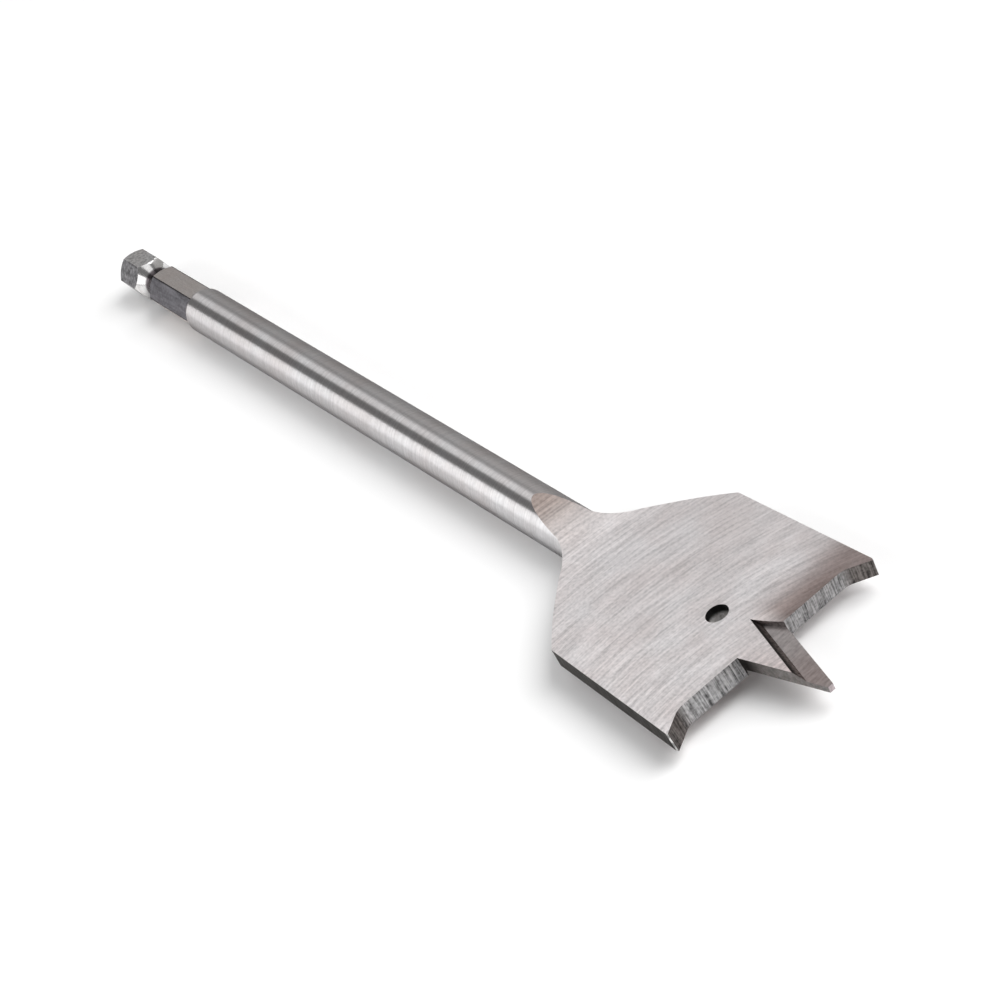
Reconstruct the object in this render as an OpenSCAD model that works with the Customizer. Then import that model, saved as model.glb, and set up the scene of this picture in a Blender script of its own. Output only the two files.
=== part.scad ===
// Spade drill bit for wood, forged in one piece, lying level with the blade's flat face up.
// Sizes are in millimetres. +X runs along the axis to the centre point, +Z is up.

/* [Overall] */
// Length from the end of the shank to the tip of the centre point
overall_length = 196; // [160:1:400]

/* [Hexagonal shank] */
// Width across the flats
hex_across_flats = 6.35; // [6.2:0.05:6.35]
// Length of the flats from the end of the shank
hex_length = 26.7; // [22:0.1:40]
// Turn of the hexagon about the axis against the blade
hex_turn = 20; // [0:1:59]
// Middle of the locking groove from the end of the shank
groove_place = 9.5; // [7:0.1:12]
// Diameter at the bottom of the locking groove
groove_root_d = 4.75; // [4.2:0.05:5.4]
// Radius of the locking groove's section
groove_r = 4.1; // [2:0.1:4.5]
// Diameter of the flat face at the end of the shank
end_face_d = 5.4; // [4:0.1:6.2]
// Length of the chamfer at the end of the shank
end_chamfer = 1.1; // [0.4:0.1:2]

/* [Round shaft] */
// Diameter of the shaft
shaft_d = 7.35; // [7.35:0.05:8]
// Length over which the flats run out into the shaft
flat_runout = 1.2; // [0.4:0.1:3]

/* [Neck] */
// Slope of the ramps that flatten the shaft into the blade
ramp_angle = 9.4; // [8:0.2:12]
// Radius of the hollow blend between a ramp and the face of the blade
ramp_blend_r = 70; // [20:1:90]
// Foot of the ramps behind the shoulder corners
ramp_foot = 12.2; // [9:0.2:15]
// Width of the blade where it starts inside the shaft
root_width = 4.6; // [3.6:0.1:5]

/* [Blade] */
// Width across the spurs
blade_width = 34; // [30:0.5:45]
// Thickness of the blade
blade_thickness = 2.8; // [2.2:0.1:3.4]
// Shoulder corners to the cutting edges
blade_length = 25.8; // [22:0.2:36]
// Back taper of each side
side_taper = 1.7; // [0:0.1:3]
// Length of the curved part of the shoulders along the axis
shoulder_length = 10.8; // [9:0.1:13]
// Width across the shoulders where the curve starts
shoulder_inner_width = 14.4; // [13:0.1:15]
// Radius of the outward curve of the shoulders
shoulder_r = 70; // [50:1:150]
// Length of the straight part of a shoulder, between its fillet and its curve
shoulder_straight = 0.4; // [0.2:0.1:2]
// Angle by which the straight part of a shoulder is steeper than the start of its curve
shoulder_break = 5; // [3:0.5:8]
// Diameter of the hole through the blade
hole_d = 3.2; // [2:0.1:6]
// Hole behind the cutting edges
hole_place = 9.6; // [8:0.1:14]

/* [Cutting edges] */
// Relief of the front faces behind the cutting edges
edge_relief = 10; // [4:0.5:16]
// Width of each spur
spur_width = 3.5; // [2:0.1:5]
// Height of each spur over the cutting edges
spur_height = 2.4; // [0.8:0.1:3.5]
// Length of the small land on the outer corner of each spur
spur_land = 0.5; // [0.2:0.1:0.8]
// Angle of the small land against the side of the blade
spur_land_angle = 20; // [10:1:35]
// Radius of the rake hollow behind each cutting edge
rake_r = 16; // [12:1:40]
// Width of the rake hollow at the inner end of the cutting edge
rake_width = 3.8; // [2.5:0.1:4]

/* [Centre point] */
// Height of the point over the cutting edges
point_length = 13.6; // [10:0.1:18]
// Width of the point at the cutting edges
point_base = 7.4; // [6.4:0.1:9]
// Width of the blunt end of the point
point_tip = 0.8; // [0.3:0.1:1]
// Depth of the ground pocket beside the point
pocket_depth = 0.95; // [0.5:0.05:1]
// Inner corner of the pocket behind the cutting edges
pocket_back = 4.5; // [3:0.1:5.5]
// Inner corner of the pocket beside the axis
pocket_side = 1.6; // [1:0.1:2.2]
// Angle of the pocket's wall along the point
point_wall_angle = 14; // [10:0.5:18]
// Lean of the pocket's wall along the point
point_wall_lean = 43; // [20:1:55]
// Angle of the pocket's wall at the inner end of the cutting edge
wing_wall_angle = 24; // [16:0.5:30]

/* [Hidden] */
$fn = 96;
shaft_r = shaft_d / 2;
half_t = blade_thickness / 2;
// Room that cutting bodies have beyond the faces they cut
over = 2;

// Places along the axis, from the middle of the overall length
x_end = -overall_length / 2;
x_tip = overall_length / 2;
x_cut = x_tip - point_length;
x_spur = x_cut + spur_height;
x_shoulder = x_cut - blade_length;
x_hex = x_end + hex_length;
x_hole = x_cut - hole_place;
x_foot = x_shoulder - ramp_foot;

// Sides of the blade, which are straight lines tapering back from the spurs
taper = tan(side_taper);
function side_y(x) = blade_width / 2 - (x_spur - x) * taper;

// Shoulder arc through the corner of the side and the place where the curve starts
corner = [x_shoulder, side_y(x_shoulder)];
inner = [x_shoulder - shoulder_length, shoulder_inner_width / 2];
chord = corner - inner;
chord_l = norm(chord);
rise = sqrt(pow(shoulder_r, 2) - pow(chord_l / 2, 2));
shoulder_c = (corner + inner) / 2 + rise * [chord[1], -chord[0]] / chord_l;

// Straight part of a shoulder, and where it starts
straight_angle = atan2(chord[1], chord[0]) + asin(chord_l / 2 / shoulder_r) + shoulder_break;
touch = inner - shoulder_straight * [cos(straight_angle), sin(straight_angle)];
// Fillet that touches the root's side and the start of the straight part
fillet_r = (touch[1] - root_width / 2) / (1 - cos(straight_angle));
fillet_c = [touch[0] - fillet_r * sin(straight_angle), root_width / 2 + fillet_r];
// Straight part of a shoulder carried on to the line of the side
meet_y = side_y(x_shoulder);
meet_x = touch[0] + (meet_y - touch[1]) / tan(straight_angle);

// Hollow blend at the foot of a ramp, tangent to the ramp and to the blade's face
blend_l = ramp_blend_r * tan(ramp_angle / 2);
ramp_top = shaft_r + over;
x_ramp_top = x_foot - (ramp_top - half_t) / tan(ramp_angle);
// Where the ramps leave the round of the shaft
x_apex = x_foot - (shaft_r - half_t) / tan(ramp_angle);

// Slope of the point's sides, and their half width at any place
point_slope = (point_base - point_tip) / 2 / point_length;
function point_y(x) = point_tip / 2 + (x_tip - x) * point_slope;
spur_y = blade_width / 2 - spur_width;
spur_slope = spur_height / spur_width;

// Inner corner of the pocket, its end wall and its floor
pocket_corner = [x_cut - pocket_back, pocket_side];
pocket_reach = x_tip + over - pocket_corner[0];
floor_z = half_t - pocket_depth;

// Rake hollow, deepest at the inner end of the cutting edge and fading out beside the spur
rake_depth = rake_r - sqrt(pow(rake_r, 2) - pow(rake_width / 2, 2));
rake_start = [x_cut - rake_width / 2, point_base / 2];
rake_length = spur_y + spur_width / 2 - point_base / 2;
rake_yaw = atan(rake_width / 2 / rake_length);
rake_tilt = atan(rake_depth / rake_length);
// The hollow is cut as far as the middle of the pocket, which opens it there
rake_limit = (wing_wall_angle - point_wall_angle) / 2;
rake_back = pocket_corner - 2 * rake_width * [cos(rake_limit), sin(rake_limit)];
rake_front = pocket_corner + 2 * pocket_reach * [cos(rake_limit), sin(rake_limit)];

// Turned body about the axis, from a profile of radius and place along the axis
module turned() {
    rotate([0, 90, 0])
        rotate_extrude()
            children();
}

// Round shaft, which starts as a cone that runs the flats out
module round_shaft() {
    turned()
        polygon([
            [0, x_hex - flat_runout],
            [hex_across_flats / 2, x_hex - flat_runout],
            [shaft_r, x_hex],
            [shaft_r, x_shoulder],
            [0, x_shoulder]
        ]);
}

// Hexagonal shank with a chamfered end and the locking groove
module hex_shank() {
    difference() {
        intersection() {
            translate([x_end, 0, 0])
                rotate([hex_turn, 0, 0])
                    rotate([0, 90, 0])
                        cylinder(h = hex_length, d = hex_across_flats / cos(30), $fn = 6);
            turned()
                polygon([
                    [0, x_end],
                    [end_face_d / 2, x_end],
                    [shaft_r, x_end + end_chamfer],
                    [shaft_r, x_hex],
                    [0, x_hex]
                ]);
        }
        turned()
            translate([groove_root_d / 2 + groove_r, x_end + groove_place])
                circle(groove_r);
    }
}

// Upper half of the side view: full height at the shaft, ramp, hollow blend, face of the blade
module upper_profile() {
    difference() {
        polygon([
            [x_end - over, -half_t / 2],
            [x_end - over, ramp_top],
            [x_ramp_top, ramp_top],
            [x_foot - blend_l * cos(ramp_angle), half_t + blend_l * sin(ramp_angle)],
            [x_foot + blend_l, half_t],
            [x_tip + over, half_t],
            [x_tip + over, -half_t / 2]
        ]);
        translate([x_foot + blend_l, half_t + ramp_blend_r])
            circle(ramp_blend_r, $fn = 360);
    }
}

// Space inside the upper and lower ramps, across the whole width
module flattening() {
    rotate([90, 0, 0])
        linear_extrude(blade_width + 2 * over, center = true) {
            upper_profile();
            mirror([0, 1])
                upper_profile();
        }
}

// Plan of the blade with straight shoulders, before its front is ground
module blade_outline() {
    difference() {
        polygon([
            [(x_apex + fillet_c[0]) / 2, 0],
            [fillet_c[0], -root_width / 2],
            [touch[0], -touch[1]],
            [meet_x, -side_y(meet_x)],
            [x_tip, -side_y(x_tip)],
            [x_tip, side_y(x_tip)],
            [meet_x, side_y(meet_x)],
            touch,
            [fillet_c[0], root_width / 2]
        ]);
        for (side = [1, -1])
            translate([fillet_c[0], side * fillet_c[1]])
                circle(fillet_r, $fn = 180);
    }
}

// What is trimmed off outside the curve of one shoulder
module shoulder_cut() {
    left = (touch[0] + inner[0]) / 2;
    linear_extrude(shaft_d + 2 * over, center = true)
        difference() {
            translate([left, 0])
                square([x_shoulder + over - left, blade_width]);
            translate(shoulder_c)
                circle(shoulder_r, $fn = 360);
        }
}

// What is ground off in front of one wing, leaning back by the relief
module front_cut() {
    outer = blade_width / 2 + over;
    translate([x_cut, 0, half_t])
        rotate([0, edge_relief, 0])
            translate([-x_cut, 0, -2 * blade_thickness])
                linear_extrude(3 * blade_thickness) {
                    polygon([
                        [x_cut, point_y(x_cut)],
                        [x_tip + 2 * over, point_y(x_tip + 2 * over)],
                        [x_tip + 2 * over, outer],
                        [x_cut + (outer - spur_y) * spur_slope, outer],
                        [x_cut, spur_y]
                    ]);
                    polygon([
                        [x_spur - spur_land, blade_width / 2],
                        [x_spur - spur_land + over, blade_width / 2 - over * tan(spur_land_angle)],
                        [x_spur - spur_land + over, outer],
                        [x_spur - spur_land, outer]
                    ]);
                }
}

// Pocket ground beside the point, with a leaning wall along it and an upright one at the wing
module pocket_cut() {
    intersection() {
        translate([0, 0, floor_z])
            linear_extrude(pocket_depth + over)
                polygon([
                    pocket_corner - [over, over * tan(wing_wall_angle)],
                    pocket_corner + pocket_reach * [1, tan(wing_wall_angle)],
                    [x_tip + over, -blade_width / 2],
                    [pocket_corner[0] - over, -blade_width / 2]
                ]);
        translate([pocket_corner[0], pocket_corner[1], half_t])
            rotate([0, 0, -point_wall_angle])
                rotate([point_wall_lean - 90, 0, 0])
                    translate([-pocket_reach, -over, 0])
                        cube([3 * pocket_reach, 3 * pocket_reach, pocket_reach]);
    }
}

// Shallow hollow along the cutting edge that gives it its rake
module rake_cut() {
    intersection() {
        translate([rake_start[0], rake_start[1], half_t - rake_depth + rake_r])
            rotate([rake_tilt - 90, 0, -rake_yaw])
                cylinder(h = 3 * rake_length, r = rake_r, center = true, $fn = 360);
        translate([0, 0, half_t - 2 * rake_depth])
            linear_extrude(2 * rake_depth + over)
                polygon([
                    rake_back,
                    rake_front,
                    [rake_front[0], blade_width / 2 + over],
                    [rake_back[0], blade_width / 2 + over]
                ]);
    }
}

// Grinding of one wing, seen with its cutting edge uppermost
module wing_grinding() {
    front_cut();
    pocket_cut();
    rake_cut();
}

module spade_bit() {
    color("silver")
        translate([0, 0, shaft_r])
            difference() {
                union() {
                    hex_shank();
                    intersection() {
                        union() {
                            round_shaft();
                            linear_extrude(shaft_d + over, center = true)
                                blade_outline();
                        }
                        flattening();
                    }
                }
                translate([x_hole, 0, 0])
                    cylinder(h = blade_thickness + 2 * over, d = hole_d, center = true);
                for (turn = [0, 180])
                    rotate([turn, 0, 0]) {
                        shoulder_cut();
                        wing_grinding();
                    }
            }
}

spade_bit();
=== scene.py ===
"""Spade drill bit for wood, modelled with fine rounds and dressed surface by surface.

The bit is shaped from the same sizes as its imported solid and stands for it. The modelling is
in millimetres with the bit's axis on X and the point at +X. The finished mesh is brought to
metres and set down on the floor.
"""

import logging
import math
from collections.abc import Callable, Sequence
from dataclasses import dataclass, field
from enum import Enum

import bpy
from mathutils import Matrix, Vector


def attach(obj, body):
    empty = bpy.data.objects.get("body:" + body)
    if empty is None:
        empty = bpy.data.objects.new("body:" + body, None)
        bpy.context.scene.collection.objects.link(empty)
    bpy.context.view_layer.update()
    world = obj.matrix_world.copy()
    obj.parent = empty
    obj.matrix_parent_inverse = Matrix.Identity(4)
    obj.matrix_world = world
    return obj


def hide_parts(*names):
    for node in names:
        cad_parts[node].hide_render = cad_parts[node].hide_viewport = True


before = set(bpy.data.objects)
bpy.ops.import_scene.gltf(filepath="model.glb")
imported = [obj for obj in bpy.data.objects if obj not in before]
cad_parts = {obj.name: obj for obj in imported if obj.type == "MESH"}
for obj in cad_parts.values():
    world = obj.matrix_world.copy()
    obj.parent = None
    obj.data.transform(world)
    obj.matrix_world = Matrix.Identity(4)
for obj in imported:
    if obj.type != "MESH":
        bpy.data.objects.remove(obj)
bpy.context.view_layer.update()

log = logging.getLogger("spade_bit")

Outline = Sequence[tuple[float, float]]
Colour = tuple[float, float, float]

MILLIMETRE = 0.001
# How far a cutting body reaches past what it cuts
OVER = 2.0
# Sides of the large rounds, of the small ones and of the shallow hollows
FINE_ROUND = 192
SMALL_ROUND = 96
HOLLOW_ROUND = 720
# Steps of short and long arcs in an outline
SHORT_ARC = 12
ARC = 16
LONG_ARC = 40
# Parts of a face's normal: squarely to an axis, mostly to it, and at least leaning to it
SQUARE = 0.9
MOSTLY = 0.5
LEANING = 0.3


class Join(Enum):
    """How one solid is combined with another."""

    UNION = "UNION"
    CUT = "DIFFERENCE"
    COMMON = "INTERSECT"


class Surface(Enum):
    """The worked surfaces of the bit, each with its own finish."""

    SHAFT = "drawn_shaft"
    FLATS = "hex_flats"
    # Painted shade: a darker copy of the flats' finish for the flats that face one way
    PAINTED_SHADE_FLATS = "dull_hex_flats"
    CORNER = "hex_corners"
    GROOVE = "locking_groove"
    END = "shank_end"
    # Painted shade: a darker copy of the end's finish for the end faces that face one way
    PAINTED_SHADE_END = "dull_shank_end"
    FACE = "brushed_face"
    SIDE = "blade_side"
    FRONT = "ground_front"
    LAND = "spur_land"
    RAKE = "rake_hollow"
    FLOOR = "pocket_floor"
    WALL = "pocket_wall"
    WING_WALL = "pocket_wing_wall"
    POINT = "point_side"
    TIP = "point_tip"
    BORE = "blade_hole"


class Zone(Enum):
    """Soft-edged places on the bit where a finish leans to another colour; all but the point's warm tint are
    painted shade.
    """

    EDGE = "edge_heat"
    NECK = "neck_forging"
    POINT = "point_heat"
    ROOT = "point_root"
    SPUR = "spur_grind"
    BRIM = "pocket_brim"
    MOUTH = "hole_mouth"
    GROOVE_BACK = "groove_back"


class Measure(Enum):
    """What a zone is measured by, in millimetres."""

    ALONG = "from the middle of the length to the point"
    ASIDE = "from the axis to either side"
    UP = "from the axis upwards"
    OFF = "from the axis up or down"
    LEAD = "aside times up, above nought on the leading face of each wing"


class Bench:
    """Solid modelling by hand: primitives, edit-mode steps and applied modifiers."""

    @staticmethod
    def only(obj: bpy.types.Object) -> None:
        """Makes one object the only selected and the active one."""
        bpy.ops.object.select_all(action="DESELECT")
        obj.select_set(True)
        bpy.context.view_layer.objects.active = obj

    @staticmethod
    def close(obj: bpy.types.Object) -> None:
        """Points all faces of a closed shape outwards."""
        Bench.only(obj)
        bpy.ops.object.mode_set(mode="EDIT")
        bpy.ops.mesh.select_all(action="SELECT")
        bpy.ops.mesh.normals_make_consistent(inside=False)
        bpy.ops.object.mode_set(mode="OBJECT")

    @staticmethod
    def place(obj: bpy.types.Object, matrix: Matrix) -> None:
        """Moves and turns an object and applies that to its mesh."""
        Bench.only(obj)
        obj.matrix_world = matrix
        bpy.ops.object.transform_apply(location=True, rotation=True, scale=True)

    @staticmethod
    def prism(name: str, outline: Outline, low: float, high: float) -> bpy.types.Object:
        """Makes an upright prism from a plan.

        Args:
            name: Name of the new object.
            outline: Corners of the plan, in order.
            low: Height of the lower face.
            high: Height of the upper face.

        Returns:
            The new object.
        """
        bpy.ops.object.select_all(action="DESELECT")
        bpy.ops.mesh.primitive_circle_add(vertices=len(outline), radius=1.0, fill_type="NGON")
        obj = bpy.context.object
        obj.name = name
        for vertex, (x, y) in zip(obj.data.vertices, outline):
            vertex.co = (x, y, low)
        bpy.ops.object.mode_set(mode="EDIT")
        bpy.ops.mesh.select_all(action="SELECT")
        bpy.ops.mesh.extrude_region_move(TRANSFORM_OT_translate={"value": (0.0, 0.0, high - low)})
        bpy.ops.object.mode_set(mode="OBJECT")
        Bench.close(obj)
        return obj

    @staticmethod
    def turned(name: str, profile: Outline, sides: int = FINE_ROUND) -> bpy.types.Object:
        """Makes a body turned about the X axis.

        Args:
            name: Name of the new object.
            profile: Place along the axis and radius of each step, in order.
            sides: Number of sides of the round.

        Returns:
            The new object.
        """
        bpy.ops.object.select_all(action="DESELECT")
        start, radius = profile[0]
        bpy.ops.mesh.primitive_circle_add(vertices=sides, radius=radius, fill_type="NGON")
        obj = bpy.context.object
        obj.name = name
        Bench.place(obj, Matrix.Translation((start, 0.0, 0.0)) @ Matrix.Rotation(math.pi / 2, 4, "Y"))
        bpy.ops.object.mode_set(mode="EDIT")
        bpy.ops.mesh.select_all(action="SELECT")
        for x, r in profile[1:]:
            step = {"value": (x - start, 0.0, 0.0)}
            bpy.ops.mesh.extrude_region_move(TRANSFORM_OT_translate=step)
            if r != radius:
                scale = r / radius
                bpy.ops.transform.resize(value=(1.0, scale, scale), center_override=(x, 0.0, 0.0))
            start, radius = x, r
        bpy.ops.object.mode_set(mode="OBJECT")
        Bench.close(obj)
        return obj

    @staticmethod
    def trim(obj: bpy.types.Object, point: Vector, normal: Vector) -> None:
        """Cuts away what lies beyond a plane and closes the cut.

        Args:
            obj: Object to trim.
            point: Any point of the plane.
            normal: Direction of the part that goes.
        """
        Bench.only(obj)
        bpy.ops.object.mode_set(mode="EDIT")
        bpy.ops.mesh.select_all(action="SELECT")
        bpy.ops.mesh.bisect(plane_co=point, plane_no=normal, use_fill=True, clear_outer=True)
        bpy.ops.object.mode_set(mode="OBJECT")
        Bench.close(obj)

    @staticmethod
    def combine(target: bpy.types.Object, tool: bpy.types.Object, how: Join) -> None:
        """Combines a tool with a target, keeps the finish of each surface and uses up the tool.

        Args:
            target: Object that is changed.
            tool: Object that it is combined with.
            how: Kind of combination.
        """
        Bench.only(target)
        modifier = target.modifiers.new(how.name.lower(), "BOOLEAN")
        modifier.operation = how.value
        modifier.solver = "EXACT"
        modifier.material_mode = "TRANSFER"
        modifier.object = tool
        bpy.ops.object.modifier_apply(modifier=modifier.name)
        mesh = tool.data
        bpy.data.objects.remove(tool)
        bpy.data.meshes.remove(mesh)

    @staticmethod
    def dress(
        obj: bpy.types.Object,
        material: bpy.types.Material,
        where: Callable[[bpy.types.MeshPolygon], bool] | None = None,
    ) -> None:
        """Gives faces a material.

        Args:
            obj: Object to dress.
            material: Material to give.
            where: Test that picks the faces; all faces when left out.
        """
        slots = [slot.material for slot in obj.material_slots]
        if material not in slots:
            obj.data.materials.append(material)
            slots.append(material)
        index = slots.index(material)
        for face in obj.data.polygons:
            if where is None or where(face):
                face.material_index = index


def arc(
    centre: tuple[float, float], radius: float, start: float, end: float, steps: int
) -> list[tuple[float, float]]:
    """Points along an arc.

    Args:
        centre: Centre of the arc.
        radius: Radius of the arc.
        start: First angle, in degrees.
        end: Last angle, in degrees.
        steps: Number of steps between the two.

    Returns:
        The points, both ends among them.
    """
    angles = [math.radians(start + (end - start) * i / steps) for i in range(steps + 1)]
    return [(centre[0] + radius * math.cos(a), centre[1] + radius * math.sin(a)) for a in angles]


@dataclass(frozen=True)
class Layout:
    """Places along the axis, from the middle of the overall length."""

    overall: float = 196.0
    point: float = 13.6
    blade: float = 25.8
    hexagon: float = 26.7
    spur: float = 2.4
    hole: float = 9.6
    foot: float = 12.2
    locking: float = 9.5
    axis: float = 3.675

    @property
    def end(self) -> float:
        """End of the shank."""
        return -self.overall / 2

    @property
    def tip(self) -> float:
        """Tip of the centre point."""
        return self.overall / 2

    @property
    def cut(self) -> float:
        """Cutting edges."""
        return self.tip - self.point

    @property
    def shoulder(self) -> float:
        """Shoulder corners."""
        return self.cut - self.blade

    @property
    def flats(self) -> float:
        """End of the flats of the shank."""
        return self.end + self.hexagon

    @property
    def bore(self) -> float:
        """Hole in the blade."""
        return self.cut - self.hole

    @property
    def ramp_foot(self) -> float:
        """Foot of the ramps."""
        return self.shoulder - self.foot

    @property
    def groove(self) -> float:
        """Middle of the locking groove."""
        return self.end + self.locking


@dataclass(frozen=True)
class Step:
    """Soft step of a zone, from none of it to all of it.

    Attributes:
        measure: What the step is measured by.
        clear: Where none of the zone shows.
        full: Where all of it shows.
    """

    measure: Measure
    clear: float
    full: float


@dataclass(frozen=True)
class Zones:
    """Where each zone of colour is clear and where it is full, in millimetres.

    Attributes:
        layout: Places along the bit that the zones follow.
        edge_shade: Painted shade, reaching back from the cutting edges.
        lead: Leading face of a wing.
        neck: Painted shade on the ramps and the neck, from the foot of the ramps.
        point: Tint of the point, from the cutting edges and from the tip.
        root: Painted shadow at the root of the point's sides, from the cutting edges.
        spur: Painted shade on the fronts towards the spurs, from the axis.
        brim: Painted shade on the upper part of the pockets' walls, from the axis.
        mouth: Painted shade on the upper part of the hole, from the axis.
        groove: Painted shade on the far side of the locking groove, from its middle.
    """

    layout: Layout
    edge_shade: tuple[float, float] = (-9.0, -0.8)
    lead: tuple[float, float] = (2.0, 7.0)
    neck: tuple[float, float] = (1.0, -13.0)
    point: tuple[float, float] = (-3.0, -2.0)
    root: tuple[float, float] = (3.2, 0.6)
    spur: tuple[float, float] = (12.2, 14.6)
    brim: tuple[float, float] = (0.75, 1.2)
    mouth: tuple[float, float] = (-0.3, 0.5)
    groove: tuple[float, float] = (-1.2, -0.4)

    def steps(self) -> dict[Zone, tuple[Step, ...]]:
        """Works out the soft steps of each zone.

        Returns:
            The steps that all have to be passed, by zone.
        """
        cut, tip = self.layout.cut, self.layout.tip
        edge_shade = Step(Measure.ALONG, cut + self.edge_shade[0], cut + self.edge_shade[1])
        return {
            Zone.EDGE: (edge_shade, Step(Measure.LEAD, *self.lead)),
            Zone.NECK: (Step(Measure.ALONG, *(self.layout.ramp_foot + x for x in self.neck)),),
            Zone.POINT: (Step(Measure.ALONG, cut + self.point[0], tip + self.point[1]),),
            Zone.ROOT: (Step(Measure.ALONG, *(cut + x for x in self.root)),),
            Zone.SPUR: (Step(Measure.ASIDE, *self.spur),),
            Zone.BRIM: (Step(Measure.OFF, *self.brim),),
            Zone.MOUTH: (Step(Measure.UP, *self.mouth),),
            Zone.GROOVE_BACK: (Step(Measure.ALONG, *(self.layout.groove + x for x in self.groove)),),
        }


@dataclass(frozen=True)
class ShadeAndTint:
    """Colour that a finish leans to in a zone: painted shade in most zones, a warm tint on the point.

    Attributes:
        zone: Where it shows.
        colour: Share of the finish's colour that is left there.
    """

    zone: Zone
    colour: Colour


@dataclass(frozen=True)
class Finish:
    """Look of one worked surface of bare steel.

    Attributes:
        colour: Reflected colour, linear.
        roughness: Middle roughness.
        lines: Grinding lines in a millimetre along X, Y and Z.
        contrast: Depth of the lines in the colour.
        streak: Change of roughness in the lines.
        relief: Height of the lines in the bump.
        tint: Colour that the uneven patches lean to.
        shades_and_tints: Zones of other colour on the surface, most of them painted shade.
        rim: Share of the light that is left at a glancing angle.
        anisotropy: Stretch of the gloss across the lines.
        across: Direction across the lines, or None where the gloss is even.
        wheel: Whether the lines are arcs left by the face of a grinding wheel.
    """

    colour: Colour
    roughness: float
    lines: tuple[float, float, float]
    contrast: float = 0.12
    streak: float = 0.06
    relief: float = 0.05
    tint: Colour = (0.95, 0.92, 0.91)
    shades_and_tints: tuple[ShadeAndTint, ...] = ()
    rim: float = 0.6
    anisotropy: float = 0.0
    across: tuple[float, float, float] | None = None
    wheel: bool = False


ALONG_X = (1.0, 0.0, 0.0)
# Grinding lines in a millimetre along X, Y and Z
ROUND_LINES = (3.0, 0.05, 0.05)
BRUSHED = (1.8, 0.14, 1.8)
UPRIGHT_LINES = (0.2, 3.6, 0.2)
BAR_LINES = (0.15, 1.6, 1.6)
SIDE_LINES = (1.8, 1.8, 0.3)
FLOOR_LINES = (2.2, 0.4, 2.2)
SCALE = (1.5, 1.5, 1.5)
FINE_SCALE = (2.6, 2.6, 2.6)
# Painted shade: each wing's leading face goes brown and dark towards its cutting edge, deepening the
# hollow's shading
EDGE_PAINTED_SHADE = ShadeAndTint(Zone.EDGE, (0.46, 0.40, 0.385))
POINT_HEAT = ShadeAndTint(Zone.POINT, (0.84, 0.76, 0.74))

FINISHES: dict[Surface, Finish] = {
    Surface.SHAFT: Finish(
        (0.7, 0.69, 0.695),
        0.3,
        ROUND_LINES,
        contrast=0.12,
        streak=0.02,
        rim=0.03,
        anisotropy=0.8,
        across=ALONG_X,
    ),
    Surface.FLATS: Finish((0.84, 0.79, 0.765), 0.36, BAR_LINES, contrast=0.2),
    # Painted shade: the flats above are the lit copy, this darker copy goes on the flats that face one way
    Surface.PAINTED_SHADE_FLATS: Finish((0.14, 0.138, 0.15), 0.36, BAR_LINES, contrast=0.4),
    Surface.CORNER: Finish((0.06, 0.058, 0.062), 0.4, BAR_LINES, contrast=0.3),
    Surface.GROOVE: Finish(
        # Painted shade: the locking groove goes dark on its side towards the blade
        (0.75, 0.75, 0.75), 0.2, ROUND_LINES, shades_and_tints=(ShadeAndTint(Zone.GROOVE_BACK, (0.16, 0.14, 0.15)),)
    ),
    Surface.END: Finish((0.8, 0.79, 0.79), 0.4, SCALE, contrast=0.45),
    # Painted shade: the end above is the lit copy, this darker copy goes on the end faces that face one way
    Surface.PAINTED_SHADE_END: Finish((0.19, 0.19, 0.198), 0.4, SCALE, contrast=0.6),
    Surface.FACE: Finish(
        (0.77, 0.745, 0.75),
        0.4,
        BRUSHED,
        contrast=0.28,
        # Painted shade: the ramps and the neck darken towards the shank
        shades_and_tints=(EDGE_PAINTED_SHADE, POINT_HEAT, ShadeAndTint(Zone.NECK, (0.55, 0.48, 0.44))),
        anisotropy=0.6,
        across=ALONG_X,
        wheel=True,
    ),
    Surface.SIDE: Finish((0.07, 0.066, 0.062), 0.45, SIDE_LINES, contrast=0.3),
    Surface.FRONT: Finish(
        (0.3, 0.3, 0.304),
        0.36,
        UPRIGHT_LINES,
        contrast=0.75,
        # Painted shade: the front darkens and warms towards the spurs
        shades_and_tints=(ShadeAndTint(Zone.SPUR, (0.46, 0.415, 0.39)),),
    ),
    Surface.LAND: Finish((0.6, 0.6, 0.59), 0.3, SCALE, contrast=0.5),
    Surface.RAKE: Finish(
        (0.72, 0.685, 0.68),
        0.4,
        BRUSHED,
        contrast=0.28,
        shades_and_tints=(EDGE_PAINTED_SHADE,),
        anisotropy=0.6,
        across=ALONG_X,
        wheel=True,
    ),
    Surface.FLOOR: Finish((0.47, 0.45, 0.45), 0.38, FLOOR_LINES, contrast=0.2, shades_and_tints=(POINT_HEAT,)),
    Surface.WALL: Finish(
        # Painted shade: the pocket walls go dark near the faces of the blade
        (0.2, 0.172, 0.165), 0.45, FINE_SCALE, contrast=0.6, shades_and_tints=(ShadeAndTint(Zone.BRIM, (0.25, 0.25, 0.25)),)
    ),
    Surface.WING_WALL: Finish((0.24, 0.23, 0.23), 0.4, FINE_SCALE, contrast=0.4),
    Surface.POINT: Finish(
        # Painted shadow: the point's sides go dark at their root by the cutting edges
        (0.24, 0.228, 0.222), 0.4, SCALE, contrast=0.25, shades_and_tints=(ShadeAndTint(Zone.ROOT, (0.2, 0.19, 0.18)),)
    ),
    Surface.TIP: Finish((0.4, 0.35, 0.36), 0.4, SCALE, contrast=0.4),
    # Painted light and shade: the bore's pale colour stands for light in the lower hole, and the mouth zone
    # paints its upper part near black
    Surface.BORE: Finish(
        (0.95, 0.94, 0.92), 0.7, FINE_SCALE, contrast=0.3, shades_and_tints=(ShadeAndTint(Zone.MOUTH, (0.03, 0.03, 0.03)),)
    ),
}


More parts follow.
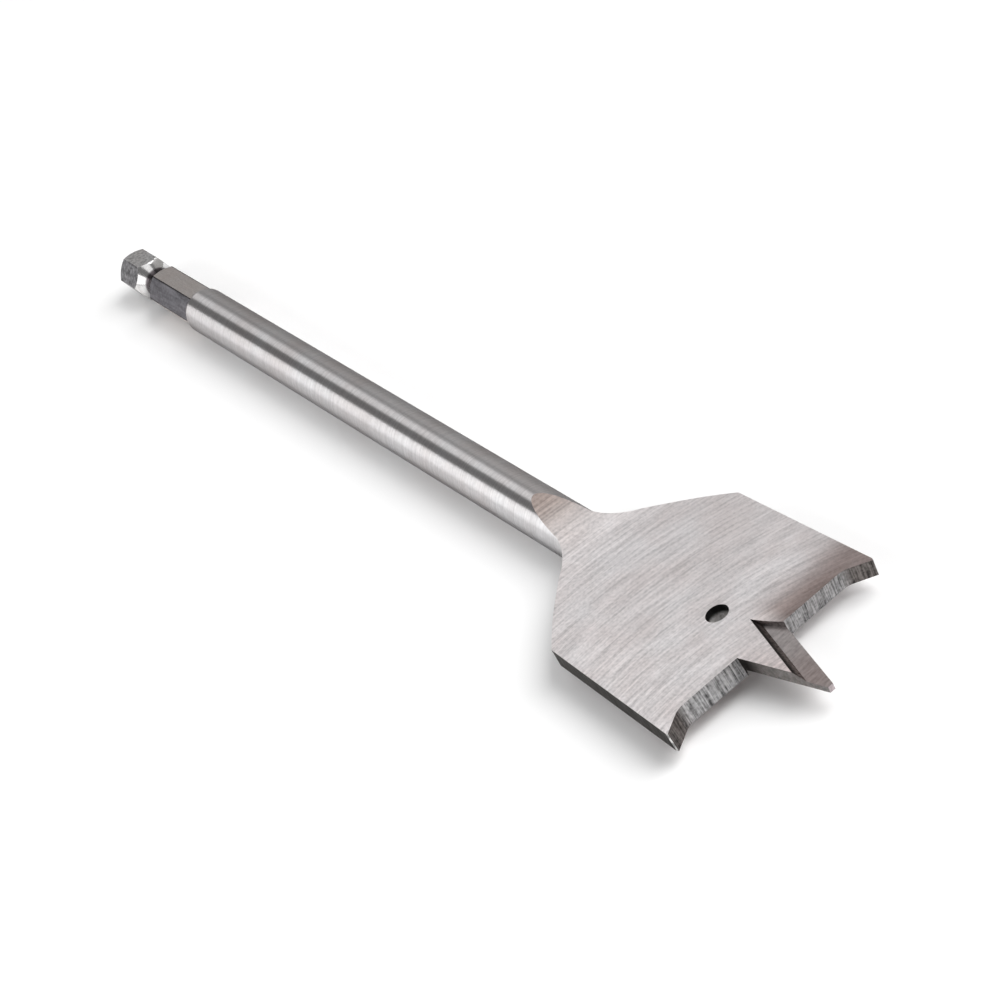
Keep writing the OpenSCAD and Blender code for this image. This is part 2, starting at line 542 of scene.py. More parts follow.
class Graph:
    """Adds and links the nodes of one shader tree."""

    def __init__(self, tree: bpy.types.NodeTree) -> None:
        """Takes the tree that is filled."""
        self.tree = tree

    def add(self, kind: str, **values: object) -> bpy.types.Node:
        """Adds a node and sets its properties, and inputs that bear the names in capitals.

        Args:
            kind: Kind of node, without the prefix that shader nodes share.
            values: Property or input values by name, with _ for a space in an input's name.

        Returns:
            The new node.
        """
        node = self.tree.nodes.new("ShaderNode" + kind)
        for name, value in values.items():
            if name[0].isupper():
                node.inputs[name.replace("_", " ")].default_value = value
            else:
                setattr(node, name, value)
        return node

    def link(self, source: bpy.types.NodeSocket, *targets: bpy.types.NodeSocket) -> None:
        """Links an output to one or more inputs."""
        for target in targets:
            self.tree.links.new(source, target)

    def reckon(self, operation: str, *terms: bpy.types.NodeSocket | float) -> bpy.types.NodeSocket:
        """Adds one step of arithmetic.

        Args:
            operation: Kind of step.
            terms: Its terms in order, each an output or a number.

        Returns:
            The result.
        """
        node = self.add("Math", operation=operation)
        for socket, term in zip(node.inputs, terms):
            if isinstance(term, float):
                socket.default_value = term
            else:
                self.link(term, socket)
        return node.outputs["Value"]


@dataclass(frozen=True)
class Wheel:
    """Face of the grinding wheel that left arcs on both faces of the blade, in millimetres.

    Attributes:
        axis: Height of the bit's axis, about which the two faces are alike.
        x: Place of the wheel's middle along the bit.
        y: Place of the wheel's middle across the upper face.
        radius: Middle radius of the arcs.
    """

    axis: float
    x: float = 133.0
    y: float = -9.0
    radius: float = 65.0

    def follow(self, graph: Graph, place: bpy.types.NodeSocket) -> bpy.types.NodeSocket:
        """Straightens the arcs.

        Args:
            graph: Tree that the nodes go into.
            place: Place on the bit.

        Returns:
            Place across the arcs, along them and above the floor.
        """
        split = graph.add("SeparateXYZ")
        graph.link(place, split.inputs["Vector"])
        face = graph.reckon("SIGN", graph.reckon("SUBTRACT", split.outputs["Z"], self.axis))
        aside = graph.reckon("MULTIPLY", split.outputs["Y"], face)
        arm_x = graph.reckon("SUBTRACT", self.x, split.outputs["X"])
        arm_y = graph.reckon("SUBTRACT", aside, self.y)
        arm = graph.add("CombineXYZ")
        graph.link(arm_x, arm.inputs["X"])
        graph.link(arm_y, arm.inputs["Y"])
        length = graph.add("VectorMath", operation="LENGTH")
        graph.link(arm.outputs["Vector"], length.inputs["Vector"])
        along = graph.reckon("MULTIPLY", graph.reckon("ARCTAN2", arm_y, arm_x), self.radius)
        straight = graph.add("CombineXYZ")
        graph.link(length.outputs["Value"], straight.inputs["X"])
        graph.link(along, straight.inputs["Y"])
        graph.link(split.outputs["Z"], straight.inputs["Z"])
        return straight.outputs["Vector"]


@dataclass(frozen=True)
class Grain:
    """One noise, as it is or as part of a mix.

    Attributes:
        scale: Scale of the noise.
        roughness: Weight of its finer detail.
        share: Share in the mix.
        detail: Number of finer layers.
    """

    scale: float
    roughness: float
    share: float = 1.0
    detail: float = 1.0


STREAKS = Grain(1.0, 0.5)
FINE_LINES = Grain(2.3, 0.6, 0.45)
SPECKLE = Grain(2.2, 0.5, 0.6)
MIX_RANGE = (0.72, 1.33)
PATCHES = Grain(140.0, 0.5, detail=3.0)
PATCH_RANGE = (0.35, 0.65)
BUMP_HEIGHT = 0.0002


class SteelShop:
    """Makes the materials of the bit from the finishes and a few shared node groups."""

    def __init__(self, layout: Layout) -> None:
        """Builds the shared groups and one material for each surface.

        Args:
            layout: Places along the bit that the zones follow.
        """
        self.lines = self._lines_group("grinding_lines", None)
        self.arcs = self._lines_group("wheel_arcs", Wheel(layout.axis))
        self.patches = self._patches_group()
        self.zones = {
            zone: self._zone_group(zone, steps, layout.axis) for zone, steps in Zones(layout).steps().items()
        }
        self.materials = {surface: self._steel(surface, finish) for surface, finish in FINISHES.items()}

    @staticmethod
    def _group(
        name: str, inputs: dict[str, str], outputs: Sequence[str]
    ) -> tuple[Graph, bpy.types.Node, bpy.types.Node]:
        """Starts a node group.

        Args:
            name: Name of the group.
            inputs: Socket type of each input, by name.
            outputs: Names of the outputs, all plain values.

        Returns:
            The group's graph, its input node and its output node.
        """
        tree = bpy.data.node_groups.new(name, "ShaderNodeTree")
        for label, kind in inputs.items():
            tree.interface.new_socket(name=label, in_out="INPUT", socket_type=kind)
        for label in outputs:
            tree.interface.new_socket(name=label, in_out="OUTPUT", socket_type="NodeSocketFloat")
        return Graph(tree), tree.nodes.new("NodeGroupInput"), tree.nodes.new("NodeGroupOutput")

    @staticmethod
    def _lines_group(name: str, wheel: Wheel | None) -> bpy.types.NodeTree:
        """Builds a group that draws grinding lines with fine speckle, as masks from 0 to 1.

        Args:
            name: Name of the group.
            wheel: Wheel whose arcs the lines follow, or None where they are straight.

        Returns:
            The group.
        """
        graph, given, result = SteelShop._group(
            name, {"Place": "NodeSocketVector", "Per Millimetre": "NodeSocketVector"}, ["Lines", "Fine"]
        )
        scale = graph.add("VectorMath", operation="SCALE", Scale=1.0 / MILLIMETRE)
        graph.link(given.outputs["Place"], scale.inputs["Vector"])
        place = scale.outputs["Vector"]
        stretched = graph.add("VectorMath", operation="MULTIPLY")
        graph.link(place if wheel is None else wheel.follow(graph, place), stretched.inputs[0])
        graph.link(given.outputs["Per Millimetre"], stretched.inputs[1])
        along = stretched.outputs["Vector"]
        mask = SteelShop._noise(graph, STREAKS, along)
        fine = SteelShop._noise(graph, FINE_LINES, along)
        speckle = SteelShop._noise(graph, SPECKLE, place)
        for noise, grain in ((fine, FINE_LINES), (speckle, SPECKLE)):
            mask = graph.reckon("MULTIPLY_ADD", noise, grain.share, mask)
        spread = graph.add("MapRange", From_Min=MIX_RANGE[0], From_Max=MIX_RANGE[1])
        graph.link(mask, spread.inputs["Value"])
        graph.link(spread.outputs["Result"], result.inputs["Lines"])
        graph.link(fine, result.inputs["Fine"])
        return graph.tree

    @staticmethod
    def _noise(graph: Graph, grain: Grain, place: bpy.types.NodeSocket) -> bpy.types.NodeSocket:
        """Adds one noise.

        Args:
            graph: Tree that the node goes into.
            grain: The noise.
            place: Place that it reads.

        Returns:
            The noise, from 0 to 1.
        """
        noise = graph.add("TexNoise", Scale=grain.scale, Detail=grain.detail, Roughness=grain.roughness)
        graph.link(place, noise.inputs["Vector"])
        return noise.outputs["Fac"]

    @staticmethod
    def _patches_group() -> bpy.types.NodeTree:
        """Group that draws large soft patches of uneven tone, as a mask from 0 to 1."""
        graph, given, result = SteelShop._group("uneven_tone", {"Place": "NodeSocketVector"}, ["Patches"])
        noise = SteelShop._noise(graph, PATCHES, given.outputs["Place"])
        spread = graph.add("MapRange", From_Min=PATCH_RANGE[0], From_Max=PATCH_RANGE[1])
        graph.link(noise, spread.inputs["Value"])
        graph.link(spread.outputs["Result"], result.inputs["Patches"])
        return graph.tree

    @staticmethod
    def _zone_group(zone: Zone, steps: Sequence[Step], axis: float) -> bpy.types.NodeTree:
        """Builds a group that marks a zone, as a mask from 0 to 1.

        Args:
            zone: Zone to mark.
            steps: Soft steps that all have to be passed.
            axis: Height of the bit's axis.

        Returns:
            The group.
        """
        graph, given, result = SteelShop._group(zone.value, {"Place": "NodeSocketVector"}, ["Mask"])
        place = graph.add("VectorMath", operation="SCALE", Scale=1.0 / MILLIMETRE)
        graph.link(given.outputs["Place"], place.inputs["Vector"])
        split = graph.add("SeparateXYZ")
        graph.link(place.outputs["Vector"], split.inputs["Vector"])
        up = graph.reckon("SUBTRACT", split.outputs["Z"], axis)
        out = {
            Measure.ALONG: split.outputs["X"],
            Measure.ASIDE: graph.reckon("ABSOLUTE", split.outputs["Y"]),
            Measure.UP: up,
            Measure.OFF: graph.reckon("ABSOLUTE", up),
            Measure.LEAD: graph.reckon("MULTIPLY", split.outputs["Y"], up),
        }
        mask = None
        for step in steps:
            ramp = graph.add("MapRange", interpolation_type="SMOOTHSTEP")
            ramp.inputs["From Min"].default_value = step.clear
            ramp.inputs["From Max"].default_value = step.full
            graph.link(out[step.measure], ramp.inputs["Value"])
            passed = ramp.outputs["Result"]
            mask = passed if mask is None else graph.reckon("MULTIPLY", mask, passed)
        graph.link(mask, result.inputs["Mask"])
        return graph.tree

    def _steel(self, surface: Surface, finish: Finish) -> bpy.types.Material:
        """Makes the material of one surface.

        Args:
            surface: Surface that the material is for.
            finish: Look of that surface.

        Returns:
            The material.
        """
        material = bpy.data.materials.new(surface.value)
        material.use_nodes = True
        graph = Graph(material.node_tree)
        shader = material.node_tree.nodes["Principled BSDF"]
        shader.inputs["Metallic"].default_value = 1.0
        shader.inputs["Anisotropic"].default_value = finish.anisotropy
        shader.inputs["Specular Tint"].default_value = (finish.rim, finish.rim, finish.rim, 1.0)
        place = graph.add("TexCoord").outputs["Object"]
        lines = graph.add("Group", node_tree=self.arcs if finish.wheel else self.lines)
        lines.inputs["Per Millimetre"].default_value = finish.lines
        patches = graph.add("Group", node_tree=self.patches)
        graph.link(place, lines.inputs["Place"], patches.inputs["Place"])
        dark = [part * (1 - finish.contrast) for part in finish.colour]
        light = [min(1.0, part * (1 + finish.contrast)) for part in finish.colour]
        ground = graph.add("Mix", data_type="RGBA")
        ground.inputs["A"].default_value = (*dark, 1.0)
        ground.inputs["B"].default_value = (*light, 1.0)
        graph.link(lines.outputs["Lines"], ground.inputs["Factor"])
        toned = graph.add("Mix", data_type="RGBA", blend_type="MULTIPLY")
        toned.inputs["B"].default_value = (*finish.tint, 1.0)
        graph.link(patches.outputs["Patches"], toned.inputs["Factor"])
        graph.link(ground.outputs["Result"], toned.inputs["A"])
        colour = toned.outputs["Result"]
        # Each zone multiplies in its colour: painted shade, except the point's warm tint
        for shade_and_tint in finish.shades_and_tints:
            zone = graph.add("Group", node_tree=self.zones[shade_and_tint.zone])
            graph.link(place, zone.inputs["Place"])
            shaded_and_tinted = graph.add("Mix", data_type="RGBA", blend_type="MULTIPLY")
            shaded_and_tinted.inputs["B"].default_value = (*shade_and_tint.colour, 1.0)
            graph.link(zone.outputs["Mask"], shaded_and_tinted.inputs["Factor"])
            graph.link(colour, shaded_and_tinted.inputs["A"])
            colour = shaded_and_tinted.outputs["Result"]
        graph.link(colour, shader.inputs["Base Color"])
        gloss = graph.add("MapRange")
        gloss.inputs["To Min"].default_value = finish.roughness + finish.streak
        gloss.inputs["To Max"].default_value = finish.roughness - finish.streak
        graph.link(lines.outputs["Lines"], gloss.inputs["Value"])
        graph.link(gloss.outputs["Result"], shader.inputs["Roughness"])
        bump = graph.add("Bump", Strength=finish.relief, Distance=BUMP_HEIGHT)
        graph.link(lines.outputs["Fine"], bump.inputs["Height"])
        graph.link(bump.outputs["Normal"], shader.inputs["Normal"])
        if finish.across is not None:
            across = graph.add("CombineXYZ", **dict(zip("XYZ", finish.across)))
            graph.link(across.outputs["Vector"], shader.inputs["Tangent"])
        return material


@dataclass
class Shank:
    """Hexagonal shank with a chamfered end and a locking groove."""

    layout: Layout
    across_flats: float = 6.35
    turn: float = 20.0
    corner: float = 0.12
    corner_facets: int = 4
    corner_strip: float = 1.0
    groove_root_d: float = 4.75
    groove_r: float = 4.1
    end_face_d: float = 5.4
    end_chamfer: float = 1.1
    round_d: float = 7.35

    def build(self, steel: dict[Surface, bpy.types.Material]) -> bpy.types.Object:
        """Shapes the shank.

        Args:
            steel: Material of each surface.

        Returns:
            The shank as one solid.
        """
        end, length = self.layout.end, self.layout.hexagon
        radius = self.across_flats / 2 / math.cos(math.pi / 6)
        turns = [i * math.pi / 3 for i in range(6)]
        corners = [(radius * math.cos(turn), radius * math.sin(turn)) for turn in turns]
        shank = Bench.prism("shank", corners, 0.0, length)
        self._round_corners(shank)
        Bench.place(
            shank,
            Matrix.Translation((end, 0.0, 0.0))
            @ Matrix.Rotation(math.radians(self.turn), 4, "X")
            @ Matrix.Rotation(math.pi / 2, 4, "Y"),
        )
        Bench.dress(shank, steel[Surface.FLATS])
        # Painted shade: the flats facing one way take the darker copy of the finish
        Bench.dress(shank, steel[Surface.PAINTED_SHADE_FLATS], self._takes_painted_shade)
        Bench.dress(shank, steel[Surface.CORNER], lambda face: face.area < self.corner_strip * length)
        envelope = Bench.turned(
            "envelope",
            [
                (end, self.end_face_d / 2),
                (end + self.end_chamfer, self.round_d / 2),
                (end + length + OVER, self.round_d / 2),
            ],
        )
        Bench.dress(envelope, steel[Surface.END])
        Bench.combine(shank, envelope, Join.COMMON)
        bpy.ops.object.select_all(action="DESELECT")
        bpy.ops.mesh.primitive_torus_add(
            major_radius=self.groove_root_d / 2 + self.groove_r,
            minor_radius=self.groove_r,
            major_segments=FINE_ROUND,
            minor_segments=SMALL_ROUND,
        )
        groove = bpy.context.object
        Bench.place(
            groove,
            Matrix.Translation((self.layout.groove, 0.0, 0.0)) @ Matrix.Rotation(math.pi / 2, 4, "Y"),
        )
        Bench.dress(groove, steel[Surface.GROOVE])
        Bench.combine(shank, groove, Join.CUT)
        slots = [slot.material for slot in shank.material_slots]
        beyond = {
            face.index
            for face in shank.data.polygons
            if face.center.x < self.layout.groove and slots[face.material_index] != steel[Surface.GROOVE]
        }
        Bench.dress(shank, steel[Surface.END], lambda face: face.index in beyond)
        # Painted shade: the end faces facing one way take the darker copy of the finish
        Bench.dress(shank, steel[Surface.PAINTED_SHADE_END], lambda face: face.index in beyond and self._takes_painted_shade(face))
        return shank

    @staticmethod
    def _takes_painted_shade(face: bpy.types.MeshPolygon) -> bool:
        """Tells whether a face looks the way of one of the hexagon's two opposite flats that take the
        painted-shade copy of the finish.
        """
        _, y, z = face.normal
        return z > -SQUARE and abs(y) > LEANING and y * z < 0.0

    def _round_corners(self, shank: bpy.types.Object) -> None:
        """Rounds the six long corners of the upright hexagon a little."""
        Bench.only(shank)
        for edge in shank.data.edges:
            ends = [shank.data.vertices[i].co for i in edge.vertices]
            edge.select = abs(ends[0].z - ends[1].z) > self.corner
        for face in shank.data.polygons:
            face.select = False
        bpy.ops.object.mode_set(mode="EDIT")
        bpy.ops.mesh.select_mode(type="EDGE")
        bpy.ops.mesh.bevel(offset=self.corner, segments=self.corner_facets)
        bpy.ops.mesh.select_mode(type="VERT")
        bpy.ops.object.mode_set(mode="OBJECT")


@dataclass
class Blade:
    """Round shaft flattened into the blade, before the front is ground."""

    layout: Layout
    shaft_d: float = 7.35
    runout: float = 1.2
    flats_d: float = 6.35
    width: float = 34.0
    thickness: float = 2.8
    side_taper: float = 1.7
    ramp_angle: float = 9.4
    blend_r: float = 70.0
    root_width: float = 4.6
    shoulder_length: float = 10.8
    shoulder_inner_width: float = 14.4
    shoulder_r: float = 70.0
    shoulder_straight: float = 0.4
    shoulder_break: float = 5.0
    hole_d: float = 3.2

    def side(self, x: float) -> float:
        """Half width between the tapered sides at a place along the axis."""
        spur = self.layout.cut + self.layout.spur
        return self.width / 2 - (spur - x) * math.tan(math.radians(self.side_taper))

    def half_plan(self) -> list[tuple[float, float]]:
        """Plan of the +Y half of the blade, from inside the shaft to the front."""
        x0 = self.layout.shoulder
        corner = Vector((x0, self.side(x0)))
        inner = Vector((x0 - self.shoulder_length, self.shoulder_inner_width / 2))
        chord = corner - inner
        rise = math.sqrt(self.shoulder_r**2 - (chord.length / 2) ** 2)
        centre = (corner + inner) / 2 + rise * Vector((chord.y, -chord.x)) / chord.length
        slope = math.atan2(chord.y, chord.x) + math.asin(chord.length / 2 / self.shoulder_r)
        slope += math.radians(self.shoulder_break)
        touch = inner - self.shoulder_straight * Vector((math.cos(slope), math.sin(slope)))
        fillet_r = (touch.y - self.root_width / 2) / (1 - math.cos(slope))
        fillet = (touch.x - fillet_r * math.sin(slope), self.root_width / 2 + fillet_r)
        ramp = (self.shaft_d - self.thickness) / 2 / math.tan(math.radians(self.ramp_angle))
        apex = self.layout.ramp_foot - ramp
        plan = [((apex + fillet[0]) / 2, 0.0)]
        plan += arc(fillet, fillet_r, -90.0, math.degrees(slope) - 90.0, LONG_ARC)
        first = math.degrees(math.atan2(inner.y - centre.y, inner.x - centre.x))
        last = math.degrees(math.atan2(corner.y - centre.y, corner.x - centre.x))
        plan += arc((centre.x, centre.y), self.shoulder_r, first, last, ARC)
        plan.append((self.layout.tip, self.side(self.layout.tip)))
        return plan

    def relieved(self) -> list[tuple[float, float]]:
        """Side view of what is forged away above the ramp and the face, as places and heights."""
        half = self.thickness / 2
        angle = math.radians(self.ramp_angle)
        foot = self.layout.ramp_foot
        top = self.shaft_d / 2 + OVER
        blend = self.blend_r * math.tan(angle / 2)
        profile = [(foot - (top - half) / math.tan(angle), top)]
        centre = (foot + blend, half + self.blend_r)
        profile += arc(centre, self.blend_r, -90.0 - self.ramp_angle, -90.0, ARC)
        end = self.layout.tip + 3 * OVER
        return profile + [(end, half), (end, top)]

    def build(self, steel: dict[Surface, bpy.types.Material]) -> bpy.types.Object:
        """Shapes the shaft and the blade.

        Args:
            steel: Material of each surface.

        Returns:
            The shaft and blade as one solid.
        """
        flats, radius = self.layout.flats, self.shaft_d / 2
        body = Bench.turned(
            "shaft",
            [(flats - self.runout, self.flats_d / 2), (flats, radius), (self.layout.shoulder, radius)],
        )
        Bench.dress(body, steel[Surface.SHAFT])
        half = self.half_plan()
        plan = half + [(x, -y) for x, y in reversed(half[1:])]
        plate = Bench.prism("plate", plan, -radius - OVER / 2, radius + OVER / 2)
        Bench.dress(plate, steel[Surface.SIDE])
        Bench.dress(plate, steel[Surface.TIP], lambda face: face.normal.x > SQUARE)
        Bench.combine(body, plate, Join.UNION)
        for side in (1, -1):
            forge = Bench.prism("forge", self.relieved(), -self.width, self.width)
            Bench.dress(forge, steel[Surface.FACE])
            Bench.place(forge, Matrix.Rotation(side * math.pi / 2, 4, "X"))
            Bench.combine(body, forge, Join.CUT)
        bpy.ops.object.select_all(action="DESELECT")
        bpy.ops.mesh.primitive_cylinder_add(
            vertices=SMALL_ROUND,
            radius=self.hole_d / 2,
            depth=self.thickness + 2 * OVER,
            location=(self.layout.bore, 0.0, 0.0),
        )
        drill = bpy.context.object
        Bench.place(drill, drill.matrix_world.copy())
        Bench.dress(drill, steel[Surface.BORE])
        Bench.combine(body, drill, Join.CUT)
        return body


@dataclass
class Wing:
    """Grinding of one wing and of the point beside it, seen with the cutting edge uppermost."""

    layout: Layout
    width: float = 34.0
    thickness: float = 2.8
    relief: float = 10.0
    spur_width: float = 3.5
    spur_fillet: float = 3.0
    land: float = 0.5
    land_angle: float = 20.0
    rake_r: float = 16.0
    rake_width: float = 3.8
    point_base: float = 7.4
    point_tip: float = 0.8
    pocket_depth: float = 0.95
    pocket_back: float = 4.5
    pocket_side: float = 1.6
    point_wall_angle: float = 14.0
    point_wall_lean: float = 43.0
    wing_wall_angle: float = 24.0

    def point_y(self, x: float) -> float:
        """Half width of the point at a place along the axis."""
        slope = (self.point_base - self.point_tip) / 2 / self.layout.point
        return self.point_tip / 2 + (self.layout.tip - x) * slope

    @property
    def pocket_corner(self) -> Vector:
        """Inner corner of the pocket on the face of the blade."""
        return Vector((self.layout.cut - self.pocket_back, self.pocket_side))

    def tools(self, steel: dict[Surface, bpy.types.Material]) -> list[bpy.types.Object]:
        """The grinding bodies of the +Y wing, in the order they are used."""
        return [self._front(steel), self._land(steel), self._pocket(steel), self._rake(steel)]

    def _lean(self) -> Matrix:
        """Turn by the relief about the cutting edge."""
        edge = Vector((self.layout.cut, 0.0, self.thickness / 2))
        turn = Matrix.Rotation(math.radians(self.relief), 4, "Y")
        return Matrix.Translation(edge) @ turn @ Matrix.Translation(-edge)

    def _front(self, steel: dict[Surface, bpy.types.Material]) -> bpy.types.Object:
        """Body that grinds the front face, the inside of the spur and the side of the point."""
        cut, far = self.layout.cut, self.layout.tip + 2 * OVER
        outer = self.width / 2 + OVER
        spur_y = self.width / 2 - self.spur_width
        slope = self.layout.spur / self.spur_width
        turn = math.atan(slope)
        reach = self.spur_fillet * math.tan(turn / 2)
        plan = [
            (cut, self.point_y(cut)),
            (far, self.point_y(far)),
            (far, outer),
            (cut + (outer - spur_y) * slope, outer),
        ]
        fillet = (cut + self.spur_fillet, spur_y - reach)
        plan += arc(fillet, self.spur_fillet, 180.0 - math.degrees(turn), 180.0, SHORT_ARC)
        front = Bench.prism("front", plan, -2 * self.thickness, 2 * self.thickness)
        Bench.dress(front, steel[Surface.FRONT])
        Bench.dress(front, steel[Surface.POINT], lambda face: face.normal.y < -MOSTLY)
        Bench.place(front, self._lean())
        return front

    def _land(self, steel: dict[Surface, bpy.types.Material]) -> bpy.types.Object:
        """Body that grinds the small land on the outer corner of the spur."""
        start = self.layout.cut + self.layout.spur - self.land
        half = self.width / 2
        lean = OVER * math.tan(math.radians(self.land_angle))
        end = start + OVER
        plan = [(start, half), (end, half - lean), (end, half + OVER), (start, half + OVER)]
        land = Bench.prism("land", plan, -2 * self.thickness, 2 * self.thickness)
        Bench.dress(land, steel[Surface.LAND])
        Bench.place(land, self._lean())
        return land

    def _pocket(self, steel: dict[Surface, bpy.types.Material]) -> bpy.types.Object:
        """Body that grinds the pocket, with a leaning wall along the point."""
        corner, half = self.pocket_corner, self.thickness / 2
        reach = self.layout.tip + OVER - corner.x
        rise = math.tan(math.radians(self.wing_wall_angle))
        plan = [
            (corner.x - OVER, corner.y - OVER * rise),
            (corner.x + reach, corner.y + reach * rise),
            (corner.x + reach, -self.width / 2),
            (corner.x - OVER, -self.width / 2),
        ]
        pocket = Bench.prism("pocket", plan, half - self.pocket_depth, half + OVER)
        Bench.dress(pocket, steel[Surface.WALL])
        Bench.dress(pocket, steel[Surface.WING_WALL], lambda face: face.normal.y > MOSTLY)
        Bench.dress(pocket, steel[Surface.FLOOR], lambda face: face.normal.z < -SQUARE)
        wall = Matrix.Rotation(math.radians(-self.point_wall_angle), 3, "Z") @ Matrix.Rotation(
            math.radians(self.point_wall_lean - 90.0), 3, "X"
        )
        outward = wall @ Vector((0.0, 0.0, -1.0))
        Bench.trim(pocket, Vector((corner.x, corner.y, half)), outward)
        Bench.dress(pocket, steel[Surface.WALL], lambda face: face.normal.dot(outward) > SQUARE)
        return pocket

    def _rake(self, steel: dict[Surface, bpy.types.Material]) -> bpy.types.Object:
        """Body that grinds the hollow behind the cutting edge, open into the pocket."""
        half = self.thickness / 2
        depth = self.rake_r - math.sqrt(self.rake_r**2 - (self.rake_width / 2) ** 2)
        start = Vector((self.layout.cut - self.rake_width / 2, self.point_base / 2))
        length = self.width / 2 - self.spur_width / 2 - self.point_base / 2
        yaw = math.atan(self.rake_width / 2 / length)
        tilt = math.atan(depth / length)
        bpy.ops.object.select_all(action="DESELECT")
        bpy.ops.mesh.primitive_cylinder_add(vertices=HOLLOW_ROUND, radius=self.rake_r, depth=3 * length)
        rake = bpy.context.object
        Bench.place(
            rake,
            Matrix.Translation((start.x, start.y, half - depth + self.rake_r))
            @ Matrix.Rotation(-yaw, 4, "Z")
            @ Matrix.Rotation(tilt - math.pi / 2, 4, "X"),
        )
        corner = self.pocket_corner
        middle = math.radians(self.wing_wall_angle - self.point_wall_angle) / 2
        to_point = Vector((math.sin(middle), -math.cos(middle), 0.0))
        Bench.trim(rake, Vector((corner.x, corner.y, 0.0)), to_point)
        Bench.trim(rake, Vector((0.0, 0.0, half + OVER)), Vector((0.0, 0.0, 1.0)))
        Bench.dress(rake, steel[Surface.RAKE])
        return rake


@dataclass
class SpadeBit:
    """The whole bit, one piece of steel."""

    layout: Layout = field(default_factory=Layout)
    name: str = "spade_bit_steel"
    smooth_below: float = 6.0
    weld: float = 2e-6

    def build(self, shop: SteelShop) -> bpy.types.Object:
        """Shapes, grinds and dresses the bit and sets it in the frame.

        Args:
            shop: Materials of the bit.

        Returns:
            The finished piece.
        """
        steel = shop.materials
        bit = Blade(self.layout).build(steel)
        log.info("shaft and blade shaped")
        Bench.combine(bit, Shank(self.layout).build(steel), Join.UNION)
        log.info("shank joined")
        for turn in (0.0, math.pi):
            for tool in Wing(self.layout).tools(steel):
                Bench.place(tool, Matrix.Rotation(turn, 4, "X"))
                Bench.combine(bit, tool, Join.CUT)
        log.info("wings and point ground")
        bit.name = self.name
        bit.data.name = self.name
        lift = Matrix.Translation((0.0, 0.0, self.layout.axis * MILLIMETRE))
        Bench.place(bit, lift @ Matrix.Scale(MILLIMETRE, 4))
        self._smooth(bit)
        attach(bit, "root")
        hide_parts("spade_bit")
        return bit

    def _smooth(self, bit: bpy.types.Object) -> None:
        """Merges doubles and smooths the rounds, with flat faces left flat."""
        Bench.only(bit)
        bpy.ops.object.mode_set(mode="EDIT")
        bpy.ops.mesh.select_all(action="SELECT")
        bpy.ops.mesh.remove_doubles(threshold=self.weld)
        bpy.ops.object.mode_set(mode="OBJECT")
        bpy.ops.object.shade_smooth_by_angle(angle=math.radians(self.smooth_below))


@dataclass(frozen=True)
class Softbox:
    """A soft rectangular lamp.

    Attributes:
        name: Name of the lamp.
        place: Where it hangs, in metres.
        aim: Point it faces.
        size: Width and height, in metres.
        level: Brightness of its face, where 1 is white.
        colour: Colour of its light.
    """

    name: str
    place: tuple[float, float, float]
    aim: tuple[float, float, float]
    size: tuple[float, float]
    level: float
    colour: Colour = (1.0, 1.0, 1.0)


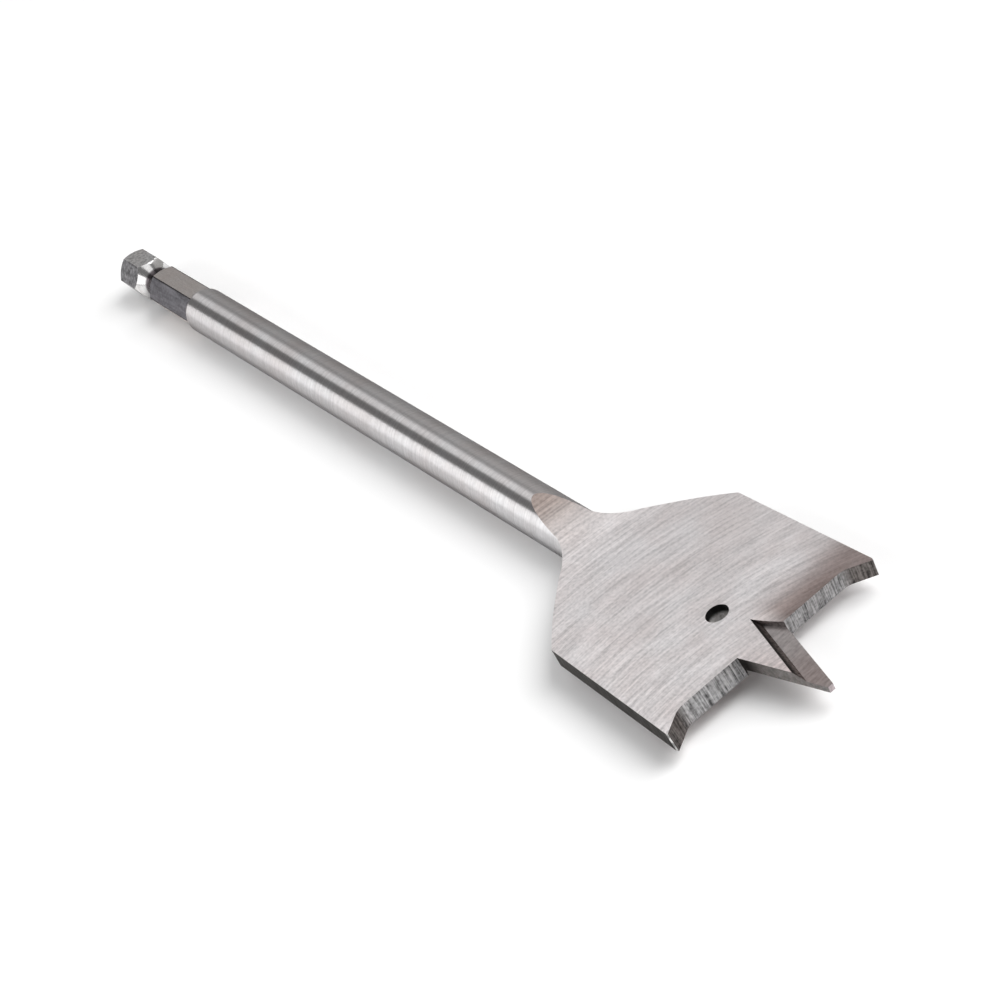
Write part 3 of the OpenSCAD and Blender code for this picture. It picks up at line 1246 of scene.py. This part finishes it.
@dataclass
class Studio:
    """Pale floor, soft light and the camera."""

    floor_size: float = 8.0
    floor_roughness: float = 0.9
    floor_colour: Colour = (0.93, 0.93, 0.93)
    room_colour: Colour = (0.18, 0.18, 0.18)
    camera_place: tuple[float, float, float] = (0.381247, -0.106605, 0.248058)
    camera_aim: tuple[float, float, float] = (0.017752, 0.0, 0.0)
    camera_roll: float = 30.47
    camera_lens: float = 117.45
    camera_sensor: float = 36.0
    camera_near: float = 0.01
    boxes: tuple[Softbox, ...] = (
        Softbox("side_strip", (-0.75, -0.885, 0.413), (-0.75, 0.0, 0.0), (2.5, 0.78), 1.45),
        Softbox("overhead", (-0.9, 0.17, 1.0), (-0.9, 0.17, 0.0), (3.0, 0.58), 0.83),
        Softbox("far_fill", (-0.7, 1.2, 0.56), (-0.7, 0.0, 0.0), (3.0, 1.15), 0.24, (1.0, 0.96, 0.92)),
        Softbox("front_key", (0.55, 0.75, 0.95), (0.0, 0.0, 0.0), (1.0, 1.0), 5.4),
        Softbox("front_fill", (1.8, 0.1, 0.75), (0.0, 0.0, 0.0), (3.2, 1.3), 0.55),
    )

    def build(self) -> None:
        """Sets up the floor, the light and the camera."""
        self._floor()
        self._world()
        for box in self.boxes:
            self._softbox(box)
        self._camera()
        bpy.context.scene.view_settings.view_transform = "Standard"

    def _floor(self) -> None:
        """Lays the floor."""
        bpy.ops.object.select_all(action="DESELECT")
        bpy.ops.mesh.primitive_plane_add(size=self.floor_size)
        floor = bpy.context.object
        floor.name = "studio_floor"
        material = bpy.data.materials.new("studio_floor")
        material.use_nodes = True
        shader = material.node_tree.nodes["Principled BSDF"]
        shader.inputs["Base Color"].default_value = (*self.floor_colour, 1.0)
        shader.inputs["Roughness"].default_value = self.floor_roughness
        shader.inputs["Specular IOR Level"].default_value = 0.0
        floor.data.materials.append(material)

    def _world(self) -> None:
        """Gives the room a plain dim tone."""
        world = bpy.data.worlds.new("studio_room")
        bpy.context.scene.world = world
        world.use_nodes = True
        world.node_tree.nodes["Background"].inputs["Color"].default_value = (*self.room_colour, 1.0)

    @staticmethod
    def _softbox(box: Softbox) -> None:
        """Hangs one lamp."""
        lamp = bpy.data.lights.new(box.name, "AREA")
        lamp.shape = "RECTANGLE"
        lamp.size, lamp.size_y = box.size
        lamp.energy = box.level * math.pi * box.size[0] * box.size[1]
        lamp.color = box.colour
        obj = bpy.data.objects.new(box.name, lamp)
        bpy.context.scene.collection.objects.link(obj)
        way = Vector(box.aim) - Vector(box.place)
        obj.location = box.place
        obj.rotation_euler = way.to_track_quat("-Z", "Y").to_euler()
        obj.visible_camera = False

    def _camera(self) -> None:
        """Places the camera at the photograph's view."""
        data = bpy.data.cameras.new("camera")
        data.sensor_fit = "HORIZONTAL"
        data.sensor_width = self.camera_sensor
        data.lens = self.camera_lens
        data.clip_start = self.camera_near
        camera = bpy.data.objects.new("camera", data)
        bpy.context.scene.collection.objects.link(camera)
        forward = (Vector(self.camera_aim) - Vector(self.camera_place)).normalized()
        level = forward.cross(Vector((0.0, 0.0, 1.0))).normalized()
        upright = level.cross(forward)
        roll = math.radians(self.camera_roll)
        up = upright * math.cos(roll) + level * math.sin(roll)
        right = forward.cross(up)
        turn = Matrix((right, up, -forward)).transposed().to_4x4()
        camera.matrix_world = Matrix.Translation(self.camera_place) @ turn
        bpy.context.scene.camera = camera


def main() -> None:
    """Builds the bit and the studio."""
    logging.basicConfig(level=logging.INFO, format="%(name)s: %(message)s")
    bit = SpadeBit().build(SteelShop(Layout()))
    log.info("%s: %d faces", bit.name, len(bit.data.polygons))
    Studio().build()
    log.info("studio ready")


if __name__ == "__main__":
    main()
